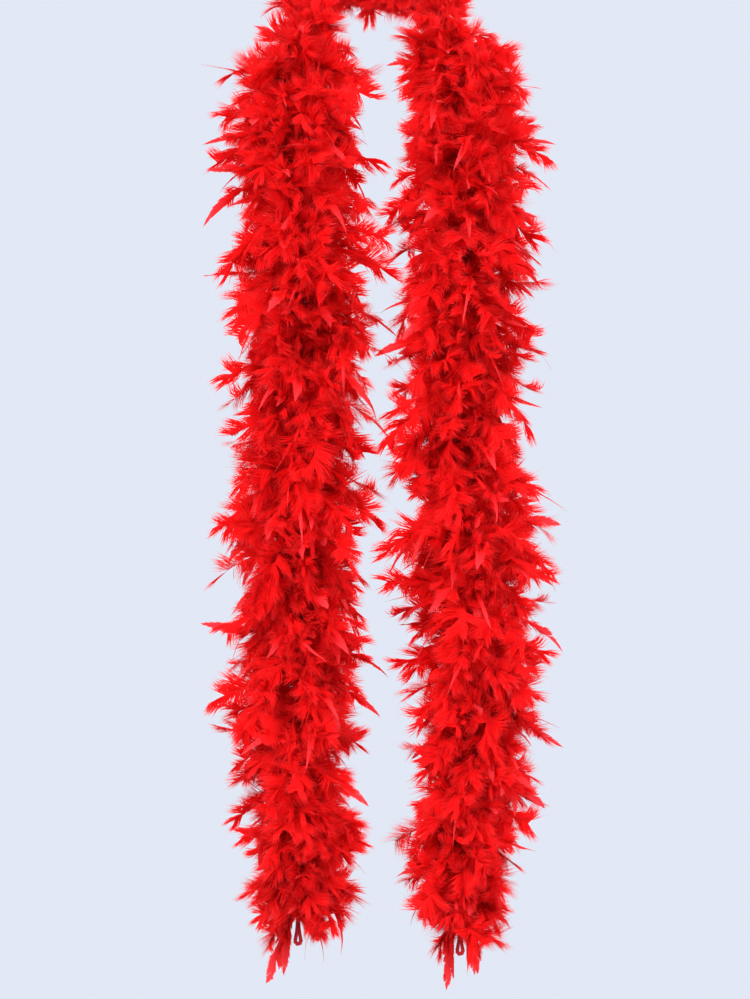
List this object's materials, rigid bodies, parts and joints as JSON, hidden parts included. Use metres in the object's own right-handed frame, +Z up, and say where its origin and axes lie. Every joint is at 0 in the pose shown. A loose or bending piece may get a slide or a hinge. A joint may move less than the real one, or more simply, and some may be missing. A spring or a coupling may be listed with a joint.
{
  "type": "feather boa",
  "caption": "Fluffy feather boa hung round a neck: a core cord bound with soft curled feathers along its whole length, both tails hanging, with a small cord loop at each end.",
  "frame": {"origin": "the neck_rest mount: the middle of the neck opening, at the height where the core cord passes beside the neck", "axes": "+Z up, along the hanging tails; +X to the viewer's right; -Y towards the viewer, the way the wearer faces"},
  "size_m": [0.332, 0.3252, 1.0602],
  "materials": {
    "feather": "satin",
    "cord": "matte",
    "thread": "satin"
  },
  "bodies": {
    "neck_drape": {"neck_core_cord": "cord", "neck_feather_cluster_1": "feather", "neck_feather_cluster_2": "feather", "neck_feather_cluster_3": "feather", "neck_feather_cluster_4": "feather", "neck_feather_cluster_5": "feather", "neck_feather_cluster_6": "feather", "neck_feather_cluster_7": "feather", "neck_feather_cluster_8": "feather", "neck_feather_cluster_9": "feather", "neck_feather_cluster_10": "feather", "neck_feather_cluster_11": "feather", "neck_feather_cluster_12": "feather"},
    "left_tail_1": {"left_tail_1_core_cord": "cord", "left_tail_1_feather_cluster_1": "feather", "left_tail_1_feather_cluster_2": "feather", "left_tail_1_feather_cluster_3": "feather"},
    "left_tail_2": {"left_tail_2_core_cord": "cord", "left_tail_2_feather_cluster_1": "feather", "left_tail_2_feather_cluster_2": "feather", "left_tail_2_feather_cluster_3": "feather"},
    "left_tail_3": {"left_tail_3_core_cord": "cord", "left_tail_3_feather_cluster_1": "feather", "left_tail_3_feather_cluster_2": "feather", "left_tail_3_feather_cluster_3": "feather"},
    "left_tail_4": {"left_tail_4_core_cord": "cord", "left_tail_4_feather_cluster_1": "feather", "left_tail_4_feather_cluster_2": "feather", "left_tail_4_feather_cluster_3": "feather", "left_end_whipping": "thread"},
    "left_end_loop": {"left_end_loop": "cord"},
    "right_tail_1": {"right_tail_1_core_cord": "cord", "right_tail_1_feather_cluster_1": "feather", "right_tail_1_feather_cluster_2": "feather", "right_tail_1_feather_cluster_3": "feather"},
    "right_tail_2": {"right_tail_2_core_cord": "cord", "right_tail_2_feather_cluster_1": "feather", "right_tail_2_feather_cluster_2": "feather", "right_tail_2_feather_cluster_3": "feather"},
    "right_tail_3": {"right_tail_3_core_cord": "cord", "right_tail_3_feather_cluster_1": "feather", "right_tail_3_feather_cluster_2": "feather", "right_tail_3_feather_cluster_3": "feather"},
    "right_tail_4": {"right_tail_4_core_cord": "cord", "right_tail_4_feather_cluster_1": "feather", "right_tail_4_feather_cluster_2": "feather", "right_tail_4_feather_cluster_3": "feather", "right_end_whipping": "thread"},
    "right_end_loop": {"right_end_loop": "cord"}
  },
  "joints": [
    {"name": "left_tail_1_swing", "type": "hinge", "parent": "neck_drape", "child": "left_tail_1", "pos_m": [-0.07733, -0.11796, -0.18691], "axis": [1, 0, 0], "range_deg": [-40, 15]},
    {"name": "left_tail_2_sway", "type": "hinge", "parent": "left_tail_1", "child": "left_tail_2", "pos_m": [-0.07121, -0.12408, -0.36846], "axis": [0, 1, 0], "range_deg": [-3, 35]},
    {"name": "left_tail_3_swing", "type": "hinge", "parent": "left_tail_2", "child": "left_tail_3", "pos_m": [-0.07726, -0.124, -0.55034], "axis": [1, 0, 0], "range_deg": [-40, 15]},
    {"name": "left_tail_4_sway", "type": "hinge", "parent": "left_tail_3", "child": "left_tail_4", "pos_m": [-0.07755, -0.124, -0.73232], "axis": [0, 1, 0], "range_deg": [-8, 35]},
    {"name": "left_end_loop_swing", "type": "hinge", "parent": "left_tail_4", "child": "left_end_loop", "pos_m": [-0.076, -0.124, -0.914], "axis": [1, 0, 0], "range_deg": [-60, 60]},
    {"name": "right_tail_1_swing", "type": "hinge", "parent": "neck_drape", "child": "right_tail_1", "pos_m": [0.0939, -0.11968, -0.19932], "axis": [1, 0, 0], "range_deg": [-40, 15]},
    {"name": "right_tail_2_sway", "type": "hinge", "parent": "right_tail_1", "child": "right_tail_2", "pos_m": [0.08543, -0.12404, -0.38087], "axis": [0, 1, 0], "range_deg": [-35, 3]},
    {"name": "right_tail_3_swing", "type": "hinge", "parent": "right_tail_2", "child": "right_tail_3", "pos_m": [0.1014, -0.124, -0.56162], "axis": [1, 0, 0], "range_deg": [-40, 15]},
    {"name": "right_tail_4_sway", "type": "hinge", "parent": "right_tail_3", "child": "right_tail_4", "pos_m": [0.10244, -0.124, -0.74334], "axis": [0, 1, 0], "range_deg": [-35, 8]},
    {"name": "right_end_loop_swing", "type": "hinge", "parent": "right_tail_4", "child": "right_end_loop", "pos_m": [0.086, -0.124, -0.924], "axis": [1, 0, 0], "range_deg": [-60, 60]}
  ]
}
